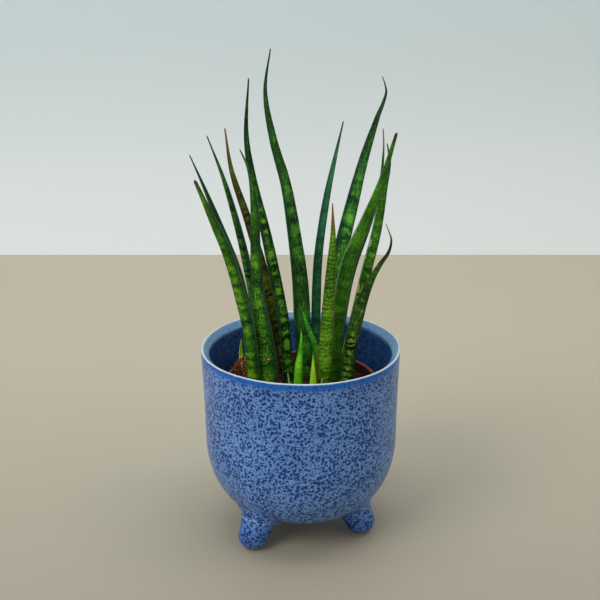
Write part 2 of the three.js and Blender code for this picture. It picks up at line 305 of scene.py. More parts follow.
def read_leaf(node):
    """Centres, widths and facing of a leaf at each ring of its CAD mesh."""
    centres, widths, fronts = [], [], []
    for ring in cad_rings(node):
        apart = np.linalg.norm(ring[:, None] - ring[None], axis=2)
        a, b = np.unravel_index(apart.argmax(), apart.shape)
        centre = (ring[a] + ring[b]) / 2
        side = (ring[b] - ring[a]) / apart[a, b]
        offsets = ring - centre
        offsets -= np.outer(offsets @ side, side)
        keel = offsets[np.linalg.norm(offsets, axis=1).argmax()]
        centres.append(centre)
        widths.append(apart[a, b])
        fronts.append(-keel / np.linalg.norm(keel))
    return np.array(centres), np.array(widths), np.array(fronts)


AROUND = 40  # points in each ring of the fine leaf
RING_STEP = 1.3 * MM
LEAST_RINGS = 30
TIP_CROWDING = 1.12  # rings stand closer together towards the tip
TIP_SHORTFALL = 0.15 * MM
TIP_POINT = 0.1 * MM
LEAST_WIDTH = 0.12 * MM
KEEL_SHARE = 0.36  # depth of the keel over the leaf's width
LIP = 0.30  # height of the leaf's rims over the keel's depth
RIPPLE = 0.025  # these two as a share of the half width and of the keel's depth
DENT = 0.03
THREAD_THINNING = 0.3


def leaf_section(channel):
    """A leaf's section at unit half width and unit keel depth, with its channel this deep."""
    points = []
    keel = AROUND * 5 // 8
    for j in range(keel):
        t = math.pi + math.pi * j / keel
        points.append((math.cos(t), -abs(math.sin(t)) ** 0.92))
    top = AROUND - keel
    for j in range(top):
        t = math.pi * j / top
        x = math.cos(t)
        lip = LIP * min(1.0, math.sin(t) / 0.42) ** 0.6
        points.append((x, lip - channel * max(0.0, 1 - x * x)))
    return np.array(points)


def leaf_widths(width, up, left, tip_length, thread, foot_girth, upper_girth):
    """The CAD leaf's widths, closed at the tip and made wider or narrower by the two girths."""
    # The last stretch closes to a point, or to a round end where the leaf is blunt.
    closing = np.clip(left / (tip_length * MM), 0, 1)
    width = np.maximum(width * np.sqrt(1 - (1 - closing) ** 2), LEAST_WIDTH)
    width *= foot_girth + (upper_girth - foot_girth) * np.clip(up * 1.6, 0, 1)
    # Some leaves end in a dry thread.
    if thread:
        width *= 1 - THREAD_THINNING * np.clip(1.25 - left / (thread * MM), 0, 1)
    return width


def build_leaf(node, look, seed, tip_length, thread, foot_girth, upper_girth):
    """A fine leaf on the line, widths and facing of its CAD node; tip lengths in millimetres."""
    centres, widths, fronts = read_leaf(node)
    steps = np.linalg.norm(np.diff(centres, axis=0), axis=1)
    knots = np.concatenate([[0], np.cumsum(steps)])
    length = knots[-1]
    count = max(LEAST_RINGS, int(length / RING_STEP))
    share = np.linspace(0, 1, count)
    wanted = (length - TIP_SHORTFALL) * (1 - (1 - share) ** TIP_CROWDING)
    left = length - wanted
    line = smooth_rows(centres, knots, wanted)
    front = unit(smooth_rows(fronts, knots, wanted))
    width = smooth_rows(widths[:, None], knots, wanted)[:, 0]
    width = leaf_widths(width, wanted / length, left, tip_length, thread, foot_girth, upper_girth)
    along = unit(np.gradient(line, axis=0))
    side = unit(np.cross(front, along))
    front = np.cross(along, side)
    vertices, spots, edges = [], [], []
    for i in range(count):
        up = wanted[i] / length
        channel = 0.40 + 0.22 * math.sin(math.pi * min(1, up * 1.2)) - 0.1 * up
        ripple = RIPPLE * noise.noise(Vector((wanted[i] / MM / 9, seed * 3.7, 0)))
        half = width[i] / 2 * (1 + ripple)
        depth = width[i] * KEEL_SHARE
        for x, y in leaf_section(channel):
            dent = DENT * noise.noise(Vector((wanted[i] / MM / 5, x * 1.6 + 9 * (y > 0), seed)))
            vertices.append(line[i] + side[i] * x * half + front[i] * (y + dent) * depth)
            spots.append((x * half / MM, wanted[i] / MM, left[i] / MM))
            # The margin's colour keeps to the very edge on the keeled side.
            edges.append(x * (1 if y > -0.02 or abs(x) > 0.9 else 0.97))
    faces = ring_faces(count, AROUND)
    faces.append(tuple(range(AROUND))[::-1])
    tip = len(vertices)
    vertices.append(line[-1] + along[-1] * TIP_POINT)
    spots.append((0, length / MM, 0))
    edges.append(0)
    last = (count - 1) * AROUND
    faces += [(last + j, last + (j + 1) % AROUND, tip) for j in range(AROUND)]
    made = make_object(node + "_blade", vertices, faces, look)
    point_attribute(made, "leaf_spot", "FLOAT_VECTOR", spots)
    point_attribute(made, "leaf_edge", "FLOAT", edges)
    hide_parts(node)
    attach(made, "root")


FINE_BAND_PERIOD = 2.9


def leaf_look(name, seed, shades, blots=0.3, blot_size=5.0, period=8.0, patches=0.2,
              patch_reach=0.72, bars=0.2, glint_flecks=0.3, streaks=0.3, fine_bands=0.0, bright=0.0,
              plain_top=40.0, dim_top=0.0, withered=None, shaded_flank=("17452c", 0.45), lean=1,
              margin=("4a7a38", 0.35), margin_width=0.07, tip=("3a3024", 10), scars=()):
    """A waxy leaf with pale patches between dark cross-bars, painted glint flecks, streaks and a dry
    tip.

    shades run from dark to light. The painted shade on one flank and the margin are (colour,
    strength), withered and tip (colour, length) and a scar (across, along, half width, half
    length, colour), in millimetres. lean is the side that the painted shade lies on.
    """
    dark, middle, light = shades.split()
    tip_colour, tip_length = tip
    look = Look("leaf_" + name, coat=0.02, coat_roughness=0.3, specular=0.2)
    across, along, left = look.split(look.attribute("leaf_spot"))
    edge = look.attribute("leaf_edge", "Fac")
    edge_squared = look.times(edge, edge)

    def grain(key, across_scale, up, scale, detail=2.0, roughness=0.5):
        """Noise over the leaf, squeezed or stretched across it. Each key gives its own."""
        spot = look.join(look.times(across, across_scale), up, seed * key)
        return look.noise(spot, scale, detail, roughness)

    waver = look.noise(look.join(across, along, seed * 13), 0.22, 2.0, 0.6)
    bent = look.add(along, look.times(look.centred(waver), 7.0))
    broad = grain(3, 0.3, along, 1 / 16, 1.5)
    blot = grain(7, 0.45, bent, 1 / blot_size)
    blot = look.step(look.add(blot, look.times(edge_squared, -0.08)), 0.50, 0.64)
    small = grain(5, 1.1, look.times(along, 0.75), 0.85, 2.0, 0.6)
    rough = look.centred(small)
    # Dark bars cross the leaf at an uneven spacing, with a pale patch between each two.
    phase = look.add(bent, look.times(broad, 2.2 * period), look.times(across, 0.12 * lean))
    wave = look.math("SINE", look.times(phase, 2 * math.pi / period))
    strong = look.step(grain(31, 0.1, along, 1 / 13, 1.0), 0.38, 0.62)
    strong = look.add(0.25, look.times(strong, 0.75))
    bar = look.step(look.add(wave, look.times(rough, 2.6), look.times(waver, 0.8)), 0.60, 1.40)
    inner = look.add(look.math("ABSOLUTE", look.add(edge, 0.12 * lean)), look.times(rough, 0.7))
    inner = look.step(inner, patch_reach, patch_reach - 0.4)
    patch = look.step(look.add(look.times(wave, -1.0), look.times(rough, 2.2)), 0.05, 0.95)
    patch = look.times(look.times(patch, strong), inner)
    # Painted highlights: small pale flecks stand in for glints on the wax.
    glint_fleck = look.step(grain(19, 1.2, look.times(along, 0.8), 0.95, 1.0), 0.56, 0.68)
    streak = grain(2, 2.2, look.times(along, 0.12), 1.0)
    fine_band = look.add(along, look.times(waver, 6.0))
    fine_band = look.math("SINE", look.times(fine_band, 2 * math.pi / FINE_BAND_PERIOD))
    # All marks but the streaks fade towards the tip.
    lower = look.add(0.15, look.times(look.step(left, plain_top, plain_top + 70.0), 0.85))
    level = look.add(
        look.times(look.centred(broad), 0.8),
        look.times(look.times(blot, lower), blots * 0.85),
        look.times(look.times(patch, lower), patches),
        look.times(look.times(bar, look.times(strong, lower)), -bars),
        look.times(look.times(glint_fleck, lower), glint_flecks),
        look.times(rough, 0.9),
        look.times(look.centred(streak), streaks * 2),
        look.times(fine_band, look.times(fine_bands, look.step(small, 0.2, 0.6))),
        look.times(edge_squared, -0.16),
        look.times(look.step(left, 70.0, 15.0), -dim_top),
        0.42 + bright,
    )
    tone = look.ramp(level, [(0.0, "081c03"), (0.2, dark), (0.5, middle), (1.0, light)])
    # Painted shade: one flank is darker, cooler and bluer than the other.
    shade_side = look.add(look.times(edge, lean), look.times(rough, 0.6))
    tone = look.over(tone, look.step(shade_side, 0.2, 1.0), shaded_flank[1], shaded_flank[0])
    ragged_rim = look.add(look.math("ABSOLUTE", edge), look.times(rough, 0.08))
    rim = look.step(ragged_rim, 1.0 - margin_width, 1.0 - margin_width * 0.4)
    tone = look.over(tone, rim, margin[1], margin[0])
    for spot_across, spot_along, half_width, half_length, code in scars:
        u = look.times(look.math("SUBTRACT", across, spot_across), 1 / half_width)
        v = look.times(look.math("SUBTRACT", along, spot_along), 1 / half_length)
        away = look.add(look.hypot(u, v), look.times(rough, 0.9))
        tone = look.over(tone, look.step(away, 1.1, 0.75), 0.9, code)
    # The end dries back from the tip with a ragged edge.
    ragged = look.add(left, look.times(look.centred(streak), tip_length * 0.8))
    if withered:
        code, reach = withered
        tone = look.over(tone, look.step(ragged, reach, reach * 0.6), 0.8, code)
    dry = look.step(ragged, tip_length, tip_length * 0.25)
    tone = look.over(tone, dry, 0.92, tip_colour)
    look.base(tone)
    look.rough(look.add(0.42, look.times(small, 0.12), look.times(dry, 0.25)))
    relief = look.add(
        look.times(streak, 0.5), look.times(bar, -0.2), look.times(small, 0.4), look.times(rim, 0.15))
    look.bump(relief, 0.25, 0.7)
    return look


PALE_BLADE = dict(
    shades="6a9a4a 9cbc74 d0dcb0", patches=0.0, shaded_flank=("7faa5c", 0.4), tip=("b5aa88", 3))
# The marks and colours of each leaf and shoot, from the photo.
LEAVES = {
    "leaf_left_outer": dict(
        seed=1, shades="0c2c16 1f5030 3f8040", blots=0.2, patches=0.1, shaded_flank=("1c4a44", 0.6),
        tip=("2a2c26", 9), dim_top=0.1),
    "leaf_left_front": dict(
        seed=2, shades="123a0a 37740f 86bc20", blots=0.35, period=10.0, patches=0.3, bars=0.3,
        shaded_flank=("123f2c", 0.7), margin=("6f8a4a", 0.3), tip=("4a3a24", 8), bright=0.04,
        plain_top=25.0),
    "leaf_left_middle": dict(
        seed=3, shades="0e2e10 266420 5fa832", blots=0.25, period=5.6, patches=0.3, bars=0.5,
        shaded_flank=("1a4a40", 0.5), tip=("26291f", 9), plain_top=20.0),
    "leaf_left_olive": dict(
        seed=4, shades="24280a 5a6818 98a02c", blots=0.2, period=6.5, bars=0.4, glint_flecks=0.15,
        shaded_flank=("4a3c14", 0.5), margin=("7a4a1c", 0.6), margin_width=0.16, tip=("8a5a24", 22),
        patches=0.25, plain_top=20.0, bright=-0.04),
    "leaf_front_broad": dict(
        seed=5, shades="10360c 2f6c14 7cbc2c", blots=0.4, blot_size=7, period=14.0, patches=0.28,
        bars=0.25, glint_flecks=0.5, shaded_flank=("123f2a", 0.7), margin=("5a7a50", 0.3), tip=("6a5440", 12),
        scars=[(1.8, 33.4, 1.7, 1.9, "5a4420"), (1.9, 33.2, 0.7, 0.8, "d8d0b8")]),
    "leaf_tall_left": dict(
        seed=6, shades="0a2c0c 1f5818 7cc02c", blots=0.2, period=10.0, patches=0.8, patch_reach=0.6,
        bars=0.25, glint_flecks=0.4, shaded_flank=("0f3826", 0.6), margin=("7f9a6a", 0.3), tip=("1c241c", 14),
        plain_top=60.0, dim_top=0.12),
    "leaf_tallest": dict(
        seed=7, shades="0a2c0e 27601c 5ca034", blots=0.4, blot_size=9, period=13.0, patches=0.1,
        bars=0.12, streaks=0.7, shaded_flank=("164628", 0.6), tip=("272c28", 16), dim_top=0.08),
    "leaf_back_narrow": dict(
        seed=8, shades="164a2a 2f704a 5aa480", blots=0.2, patches=0.1, period=11.0, bars=0.15,
        shaded_flank=("1f5a4a", 0.6), margin=("5a8a78", 0.3), tip=("2b3a34", 9)),
    "leaf_front_short": dict(
        seed=9, shades="1c4a08 47820e 86b82e", patches=0.1, fine_bands=0.2, shaded_flank=("4a5c14", 0.4),
        margin=("7a4418", 0.8), margin_width=0.14, tip=("8a5a18", 24), bright=0.07),
    "leaf_right_leaning": dict(
        seed=10, shades="184a0a 3c7a12 6ca824", blots=0.25, patches=0.1, bars=0.15, period=9.0,
        glint_flecks=0.15, shaded_flank=("2c5620", 0.5), margin=("8fa878", 0.5), tip=("4a3a26", 10),
        bright=0.03),
    "leaf_right_tall": dict(
        seed=11, shades="0e3a12 2a6c1e 68b438", blots=0.35, blot_size=4, period=13.0, bars=0.3,
        streaks=0.8, shaded_flank=("12443a", 0.7), margin=("12402c", 0.5), tip=("1a1c18", 14),
        scars=[(0.8, 177.8, 0.9, 1.8, "22301c")], dim_top=0.3),
    "leaf_right_back": dict(
        seed=12, shades="0a2e18 1c4e2c 347448", blots=0.2, patches=0.1, shaded_flank=("123c38", 0.6),
        lean=-1, tip=("9a7040", 24)),
    "leaf_right_middle": dict(
        seed=13, shades="103c0a 327414 84c42c", blots=0.35, patches=0.4, bars=0.4,
        shaded_flank=("1c5228", 0.5), margin=("93a878", 0.45), tip=("2c3f44", 12),
        scars=[(-4.0, 76.0, 0.9, 3.6, "b09a68"), (-3.4, 108.6, 0.6, 3.0, "9aa87c")]),
    "leaf_right_low": dict(
        seed=14, shades="10300a 2c5c14 94b848", blots=0.2, blot_size=3.2, period=5.0, patches=0.4,
        bars=0.35, shaded_flank=("3a3c16", 0.5), margin=("5a3a1c", 0.5), margin_width=0.12,
        tip=("8f8674", 13), plain_top=30.0, dim_top=0.15, withered=("2a2812", 26.0)),
    "shoot_left": dict(
        seed=21, shades="8cc41c c0e82c e0f450", patches=0.0, glint_flecks=0.1, bars=0.1,
        shaded_flank=("78b81a", 0.3), tip=("5a7a1c", 2), bright=0.12),
    "shoot_middle": dict(
        seed=22, shades="349414 68c41c b0ec50", period=5.0, bars=0.3, shaded_flank=("2a8c16", 0.5),
        tip=("2a5a14", 4), bright=0.1),
    "shoot_yellow": dict(
        seed=23, shades="5cac14 aadc24 d8f44c", period=4.0, bars=0.3, glint_flecks=0.1,
        shaded_flank=("7cc81a", 0.4), tip=("2c5a10", 5), bright=0.12),
    "shoot_leaning": dict(
        seed=24, shades="1c641c 4cb020 9ce840", period=4.0, patches=0.3, bars=0.5,
        shaded_flank=("237a22", 0.4), tip=("3a4a1c", 4), bright=0.08),
    "shoot_blade_left": dict(PALE_BLADE, seed=25),
    "shoot_blade_right": dict(PALE_BLADE, seed=26),
}
# In millimetres: how far from the end the width closes, and the length of a dry thread.
POINTED_TIP = 1.2
BLUNT_TIPS = {"leaf_left_front": 2.0, "leaf_right_leaning": 2.0}
THREAD_TIPS = {"leaf_right_low": 15.0, "leaf_right_tall": 11.0}
# Width at the foot and towards the tip, over that of the plain CAD leaf.
GIRTHS = {
    "leaf_front_broad": (1.16, 1.0), "leaf_right_low": (1.14, 1.0), "leaf_front_short": (1.0, 0.84),
    "shoot_left": (1.35, 1.1), "shoot_middle": (1.12, 1.0),
}

for node, traits in LEAVES.items():
    look = leaf_look(node, **traits)
    tips = BLUNT_TIPS.get(node, POINTED_TIP), THREAD_TIPS.get(node, 0.0)
    build_leaf(node, look, traits["seed"], *tips, *GIRTHS.get(node, (1.0, 1.0)))


# ---- Cover pot ----

# In millimetres. The height comes from the frame, and the bowl's other sizes repeat the CAD's.
POT_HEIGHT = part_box("ceramic_pot")[1][2] / MM
RIM_RADIUS = 67.5
WALL = 5.5
FLARE = 1.6
BEVEL_DEPTH = 4.0
RIM_LAND = 1.0
FOOT_HEIGHT = 16.5
BELLY_RISE = 54.5
BELLY_REACH = 40.7
BELLY_POWER = 2.2
WOBBLE, LOBES, LOBE_TURN = 0.7, 3, math.radians(75)
BELLY_RADIUS = RIM_RADIUS - FLARE
BELLY_TOP = FOOT_HEIGHT + BELLY_RISE
UNDERSIDE = BELLY_RADIUS - BELLY_REACH
ABOVE = 20.0  # how far past the rim the outlines are carried, where the pot is cut off

# Each foot's direction in degrees and how far its ball stands in from the belly, as in the CAD.
FEET = [(229, 16), (338, 21.5), (103, 18)]
FOOT_BALL = 10.3
FOOT_NECK = 12.6
FOOT_LEAN = 9.5
FOOT_LENGTH = 17.0
FOOT_SINK = 0.8  # how far the ball is flattened by the sole
FILLET = 8.0
EDGE_ROUNDING = 0.7
SOLE_ROUNDING = 0.8


def wall_profile(inset, top, steps=40):
    """(radius, height) points from the axis up the outside of the bowl, or its inside."""
    points = [(0.0, FOOT_HEIGHT + inset)]
    for i in range(steps + 1):
        t = i / steps * math.pi / 2
        points.append((
            UNDERSIDE + (BELLY_REACH - inset) * math.sin(t) ** (2 / BELLY_POWER),
            BELLY_TOP - (BELLY_RISE - inset) * max(0.0, math.cos(t)) ** (2 / BELLY_POWER),
        ))
    for i in range(1, 13):
        height = BELLY_TOP + (top - BELLY_TOP) * i / 12
        share = (height - BELLY_TOP) / (POT_HEIGHT - BELLY_TOP)
        points.append((BELLY_RADIUS + FLARE * share**1.5 - inset, height))
    return points


CUT_HEIGHT = POT_HEIGHT + ABOVE
OUTSIDE = np.array(wall_profile(0, POT_HEIGHT) + [(RIM_RADIUS, CUT_HEIGHT), (0, CUT_HEIGHT)])
CAVITY = np.array(
    wall_profile(WALL, POT_HEIGHT - BEVEL_DEPTH)
    + [(RIM_RADIUS - RIM_LAND, POT_HEIGHT), (RIM_RADIUS + 21.5, CUT_HEIGHT), (0, CUT_HEIGHT)]
)


def polygon_distance(points, polygon):
    """Signed distance, negative inside, of (radius, height) points to a closed outline."""
    best = np.full(len(points), 1e9)
    inside = np.zeros(len(points), bool)
    for a, b in zip(polygon, np.roll(polygon, -1, axis=0)):
        edge = b - a
        # The closing edge lies on the axis and is no surface.
        if a[0] or b[0]:
            t = np.clip((points - a) @ edge / (edge @ edge), 0, 1)
            best = np.minimum(best, np.linalg.norm(points - a - t[:, None] * edge, axis=1))
        crosses = (a[1] > points[:, 1]) != (b[1] > points[:, 1])
        with np.errstate(divide="ignore", invalid="ignore"):
            at = a[0] + (points[:, 1] - a[1]) * edge[0] / edge[1]
        inside ^= crosses & (points[:, 0] < at)
    return np.where(inside, -best, best)


FIELD_STEP = 0.25


class Field:
    """Signed distance to an outline, worked out once on a fine grid of radius and height."""

    def __init__(self, outline):
        self.radii = np.arange(0, RIM_RADIUS + 12, FIELD_STEP)
        self.heights = np.arange(-4, POT_HEIGHT + 6, FIELD_STEP)
        grid = np.stack(np.meshgrid(self.radii, self.heights, indexing="ij"), axis=-1)
        self.values = polygon_distance(grid.reshape(-1, 2), outline).reshape(grid.shape[:2])

    def at(self, flat):
        across = np.clip(flat[:, 0] / FIELD_STEP, 0, len(self.radii) - 1.001)
        up = np.clip((flat[:, 1] - self.heights[0]) / FIELD_STEP, 0, len(self.heights) - 1.001)
        i, j = across.astype(int), up.astype(int)
        u, v = across - i, up - j
        low = self.values[i, j] * (1 - u) + self.values[i + 1, j] * u
        high = self.values[i, j + 1] * (1 - u) + self.values[i + 1, j + 1] * u
        return low * (1 - v) + high * v


BODY_FIELD = Field(OUTSIDE)
CAVITY_FIELD = Field(CAVITY)


def soft_min(a, b, reach):
    h = np.clip(0.5 + 0.5 * (b - a) / reach, 0, 1)
    return b + (a - b) * h - reach * h * (1 - h)


def soft_max(a, b, reach):
    return -soft_min(-a, -b, reach)


def outward(angle):
    """The level direction at an angle in degrees."""
    return np.array([math.cos(math.radians(angle)), math.sin(math.radians(angle)), 0])


def foot_distance(points, angle, inset):
    """Distance to a leaning stub with a round end: a cone between two balls."""
    out = outward(angle)
    low = out * (BELLY_RADIUS - inset) + np.array([0, 0, FOOT_BALL - FOOT_SINK])
    high = low + np.array([0, 0, FOOT_LENGTH]) - out * FOOT_LEAN
    axis = high - low
    t = np.clip((points - low) @ axis / (axis @ axis), 0, 1)
    gap = np.linalg.norm(points - low - t[:, None] * axis, axis=1)
    return gap - (FOOT_BALL + (FOOT_NECK - FOOT_BALL) * t)


def pot_distance(points):
    """Signed distance to the whole pot, in millimetres."""
    flat = np.column_stack([np.hypot(points[:, 0], points[:, 1]), points[:, 2]])
    body = BODY_FIELD.at(flat)
    for angle, inset in FEET:
        body = soft_min(body, foot_distance(points, angle, inset), FILLET)
    body = soft_max(body, -points[:, 2], SOLE_ROUNDING)
    body = soft_max(body, points[:, 2] - POT_HEIGHT, EDGE_ROUNDING)
    return soft_max(body, -CAVITY_FIELD.at(flat), EDGE_ROUNDING)


PROBE = 0.05
LONGEST_MOVE = 1.5


def settle(points, rounds):
    """Moves points on to the pot's surface."""
    for _ in range(rounds):
        value = pot_distance(points)
        slope = np.column_stack([
            pot_distance(points + offset) - pot_distance(points - offset)
            for offset in PROBE * np.eye(3)
        ]) / (2 * PROBE)
        size = np.maximum((slope**2).sum(axis=1), 0.2)
        step = np.clip(value / size, -LONGEST_MOVE, LONGEST_MOVE)
        points = points - step[:, None] * slope
    return points


def rough_pot():
    """A coarse closed pot with its feet, from which the fine mesh is remade."""
    outline = wall_profile(0, POT_HEIGHT)
    inside = wall_profile(WALL, POT_HEIGHT - BEVEL_DEPTH)
    profile = outline + [(RIM_RADIUS - RIM_LAND, POT_HEIGHT)] + inside[::-1]
    around, foot_around = 120, 24
    vertices = []
    for radius, height in profile[1:-1]:
        vertices += ring_points((0, 0), radius, height, around)
    faces = stacked_rings(len(profile) - 2, around)
    foot_rings = [(0.3, 4), (2, 8), (6, 10), (12, 10), (22, 9.5)]
    for angle, inset in FEET:
        first = len(vertices)
        for height, radius in foot_rings:
            reach = BELLY_RADIUS - inset - FOOT_LEAN / FOOT_LENGTH * height
            vertices += ring_points(outward(angle) * reach, radius, height, foot_around)
        faces += stacked_rings(len(foot_rings), foot_around, first)
    return make_object("pot_rough", vertices, faces)


VOXEL = 1.25
SETTLING_ROUNDS = 7
SKIN = 1.2  # points nearer the cavity than this belong to the inside


def build_pot(look):
    rough = rough_pot()
    remesh = rough.modifiers.new("remesh", "REMESH")
    remesh.mode = "VOXEL"
    remesh.voxel_size = VOXEL
    graph = bpy.context.evaluated_depsgraph_get()
    source = bpy.data.meshes.new_from_object(rough.evaluated_get(graph))
    bpy.data.objects.remove(rough)
    points = np.empty(len(source.vertices) * 3)
    source.vertices.foreach_get("co", points)
    points = settle(points.reshape(-1, 3), SETTLING_ROUNDS)
    faces = [tuple(p.vertices) for p in source.polygons]
    bpy.data.meshes.remove(source)
    flat = np.column_stack([np.hypot(points[:, 0], points[:, 1]), points[:, 2]])
    inside = np.abs(CAVITY_FIELD.at(flat)) < SKIN
    # The rim is not quite round.
    radius = np.maximum(flat[:, 0], 1)
    angle = np.arctan2(points[:, 1], points[:, 0]) - LOBE_TURN
    share = flat[:, 0] / RIM_RADIUS * (points[:, 2] / POT_HEIGHT) ** 2
    points[:, :2] *= (1 + WOBBLE * share * np.cos(LOBES * angle) / radius)[:, None]
    made = make_object("cover_pot", points * MM, faces, look)
    point_attribute(made, "pot_inside", "FLOAT", inside.astype(float))
    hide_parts("ceramic_pot")
    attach(made, "root")


PINHOLE = (8.9, -66.0, 127.7)


def glaze_look():
    """Blue glaze crowded with dark dots. Heights and radii are in millimetres."""
    look = Look("blue_speckled_glaze", coat=0.08, coat_roughness=0.18, specular=0.2)
    place = look.place()
    x, y, z = look.split(place)
    radius = look.hypot(x, y)
    inside = look.attribute("pot_inside", "Fac")
    small = look.noise(place, 0.7, 1.0, 0.5)
    cloud = look.noise(place, 0.03, 2.0, 0.5)
    tint = look.noise(place, 0.16, 3.0, 0.6)
    level = look.add(look.times(cloud, 0.7), look.times(tint, 0.45), -0.08)
    base = look.ramp(level, [(0.25, "638dc4"), (0.5, "719dda"), (0.8, "7ea9e2")])
    # Round dots of two sizes, some of them run together, with a plain band under the rim.
    warp = look.noise(place, 0.5, 1.0)
    drift = look.join(look.times(warp, 0.5), look.times(small, 0.3), 0.0)
    shifted = look.node("ShaderNodeVectorMath", {0: place, 1: drift}, operation="ADD").outputs[0]
    crowd = look.centred(look.noise(place, 0.05, 1.0))
    band = look.step(look.add(z, look.times(look.centred(tint), 5.0)), 131.0, 126.5)
    uneven_size = look.times(look.centred(small), 0.16)
    reach = look.add(look.times(crowd, 0.24), uneven_size, look.times(band, 0.06))
    reach = look.add(0.385, reach)
    large_gap = look.math("SUBTRACT", reach, look.cells(shifted, 0.43, 0.95))
    fine_gap = look.math("SUBTRACT", reach, look.cells(place, 0.78, 0.95))
    fine_dots = look.times(look.step(fine_gap, -0.07, 0.11), 0.85)
    dots = look.math("MAXIMUM", look.step(large_gap, -0.04, 0.06), fine_dots)
    deep = look.mix(look.step(small, 0.42, 0.66), colour("08368c"), colour("021650"))
    plain = look.mix(band, colour("226cc6"), base)
    outer = look.mix(look.times(dots, look.add(0.5, look.times(band, 0.42))), plain, deep)
    bevel = look.mix(look.times(dots, 0.45), colour("5f86aa"), colour("32598c"))
    well = look.mix(look.times(dots, 0.7), colour("345f9c"), colour("0e244e"))
    hollow = look.mix(look.step(look.add(z, look.times(tint, 2.0)), 127.5, 132.0), well, bevel)
    # Painted shade: the glaze is darkened towards the bottom, under the belly and over the feet.
    outer = look.mix(look.step(z, 24.0, 12.0), outer, colour("c4d2e4"), "MULTIPLY")
    tone = look.mix(inside, outer, hollow)
    # The glaze breaks to cream on the rim's edge and stops short of the soles.
    uneven = look.times(look.centred(tint), 0.9)
    lip = look.times(look.step(look.add(z, uneven), 133.0, 133.5), look.step(radius, 65.6, 66.2))
    tone = look.over(tone, lip, 0.9, "c3cdc9")
    bare = look.step(look.add(z, uneven), 2.3, 1.5)
    tone = look.mix(bare, tone, colour("cfc6b4"))
    # A pinhole in the glaze, pale inside a dark ring.
    away = look.node("ShaderNodeVectorMath", {0: place, 1: PINHOLE}, operation="DISTANCE")
    away = away.outputs["Value"]
    tone = look.over(tone, look.step(away, 1.5, 1.1), 0.8, "24407c")
    tone = look.over(tone, look.step(away, 0.75, 0.45), 0.9, "9fb2c4")
    look.base(tone)
    look.rough(look.add(0.30, look.times(dots, -0.06), look.times(tint, 0.08), look.times(bare, 0.4)))
    relief = look.add(look.times(dots, 0.5), look.times(tint, 0.9), look.times(small, 0.3))
    look.bump(relief, 0.09, 0.7)
    return look


build_pot(glaze_look())


# ---- Nursery pot ----

# In millimetres. The lip's radius and both heights come from the frame; the rest is the CAD's.
nursery_low, nursery_high = (np.array(v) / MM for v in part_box("nursery_pot"))
NURSERY_TOP = nursery_high[2]
NURSERY_BASE = nursery_low[2]
LIP_RADIUS = nursery_high[0]
NURSERY_WALL = 1.2
LIP_WIDTH = 1.6
TAPER = 15.0
LIP_HEIGHT = 4.0
DRAIN_HOLES, DRAIN_RADIUS, DRAIN_INSET = 6, 4.0, 9.0
DRILL_FROM, DRILL_TO = -4, 6  # the drills' ends, which lie past both sides of the floor
DRILL_SIDES = 32
NURSERY_AROUND = 144


def plastic_look():
    look = Look("brown_nursery_plastic", specular=0.4)
    place = look.place()
    x, y, z = look.split(place)
    wide = look.noise(place, 0.08, 2.0)
    fine = look.noise(place, 1.4, 3.0, 0.6)
    tone = look.mix(look.times(wide, 0.8), colour("6b3024"), colour("94503f"))
    dust = look.step(look.add(look.times(fine, 1.0), look.times(wide, 0.4)), 0.68, 0.95)
    tone = look.over(tone, dust, 0.5, "4a2418")
    # Painted shade: the inside of the wall below the lip is darkened.
    radius = look.hypot(x, y)
    within = look.step(radius, LIP_RADIUS - 1.3, LIP_RADIUS - 1.9)
    inner_shade = look.times(within, look.step(z, NURSERY_TOP + 0.4, NURSERY_TOP - 0.8))
    tone = look.over(tone, inner_shade, 0.95, "240a07")
    look.base(tone)
    look.rough(look.add(0.45, look.times(fine, 0.2)))
    # The moulding left faint rings.
    moulded = look.times(look.math("SINE", look.times(z, 2.0)), 0.15)
    look.bump(look.add(look.times(fine, 0.6), moulded), 0.08, 0.6)
    return look


def arc(centre, radius, start, end, steps=4):
    """(radius, height) points of a small rounding, from one angle to another in degrees."""
    angles = [math.radians(start + (end - start) * i / steps) for i in range(steps + 1)]
    return [(centre[0] + radius * math.cos(a), centre[1] + radius * math.sin(a)) for a in angles]


